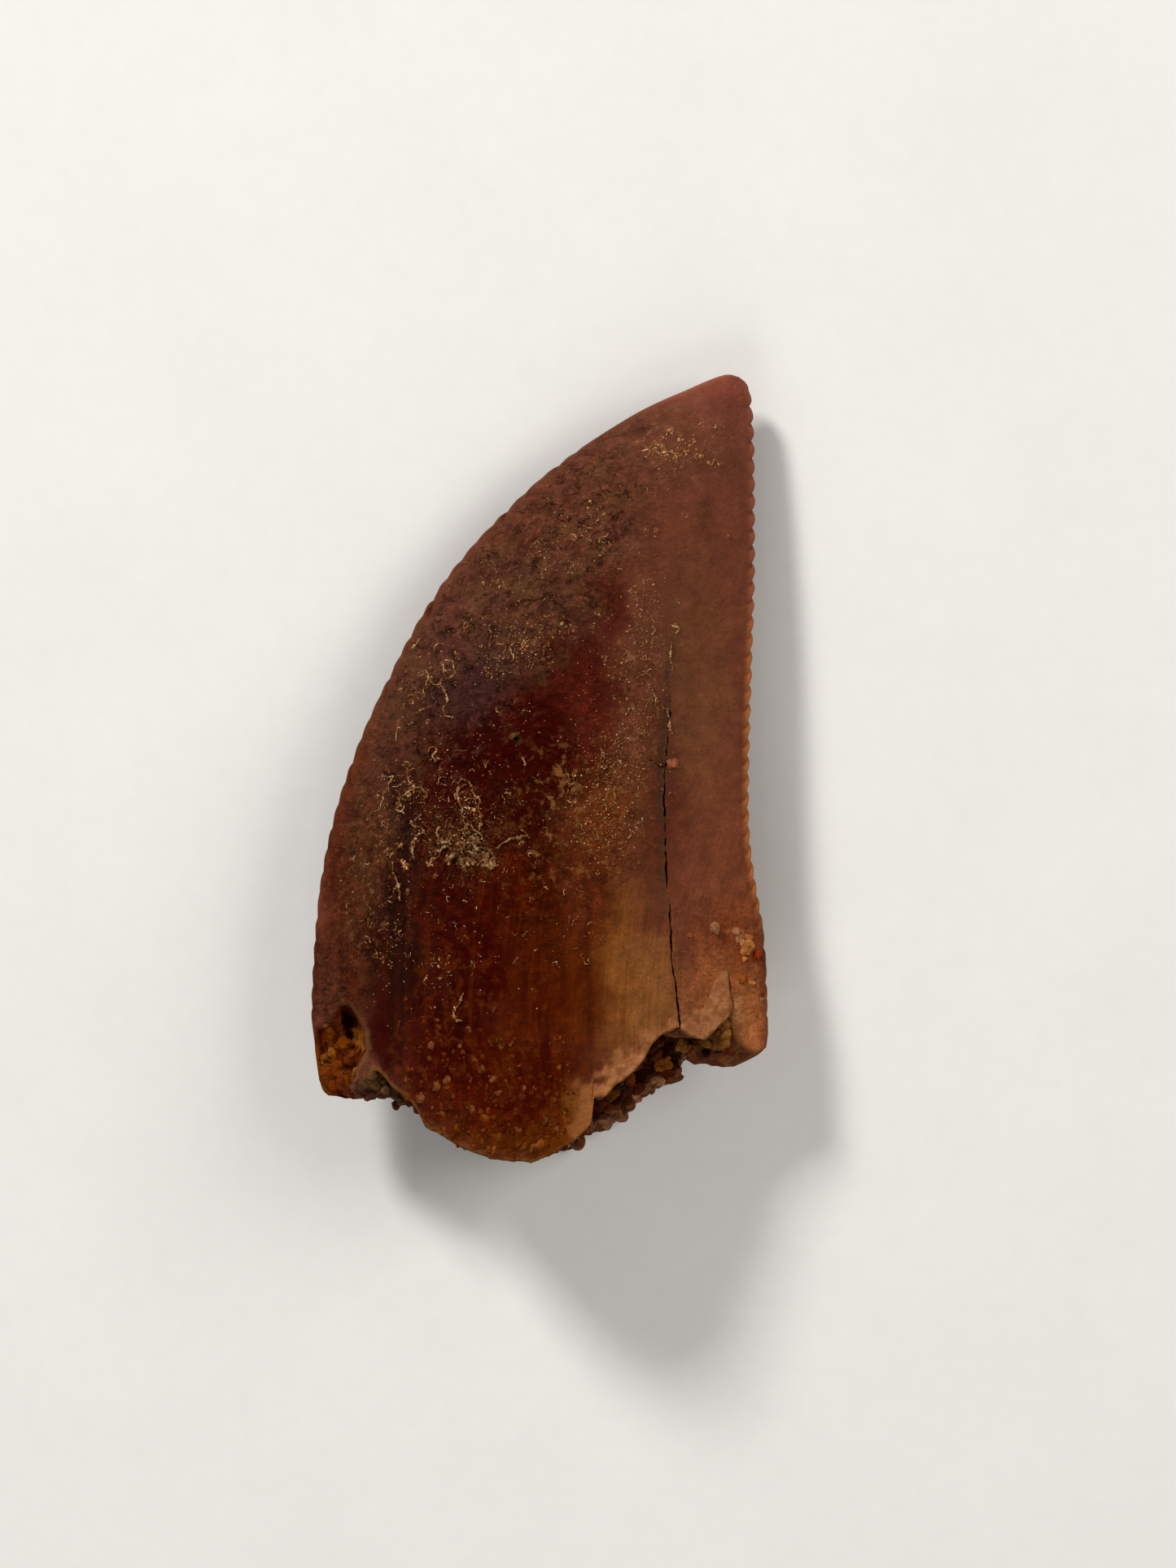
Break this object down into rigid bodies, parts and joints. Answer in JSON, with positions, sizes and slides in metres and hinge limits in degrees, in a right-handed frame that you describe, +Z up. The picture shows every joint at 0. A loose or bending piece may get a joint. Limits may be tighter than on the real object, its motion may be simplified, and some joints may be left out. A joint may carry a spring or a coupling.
{
  "type": "fossil abelisaurid tooth",
  "caption": "Serrated, backward-curving fossil tooth crown lying on its side, its broken base showing the sandstone that fills the pulp cavity.",
  "frame": {"origin": "middle of the bounding box's underside, on the surface that the tooth lies on", "axes": "+Y from the broken base towards the tip, +X from the curved front edge towards the saw-edged back, +Z up out of the upper face"},
  "size_m": [0.0122, 0.0211, 0.0051],
  "materials": {
    "enamel": "satin",
    "sandstone": "matte"
  },
  "bodies": {
    "root": {"tooth_crown": "enamel", "sandstone_fill": "sandstone"}
  },
  "joints": []
}
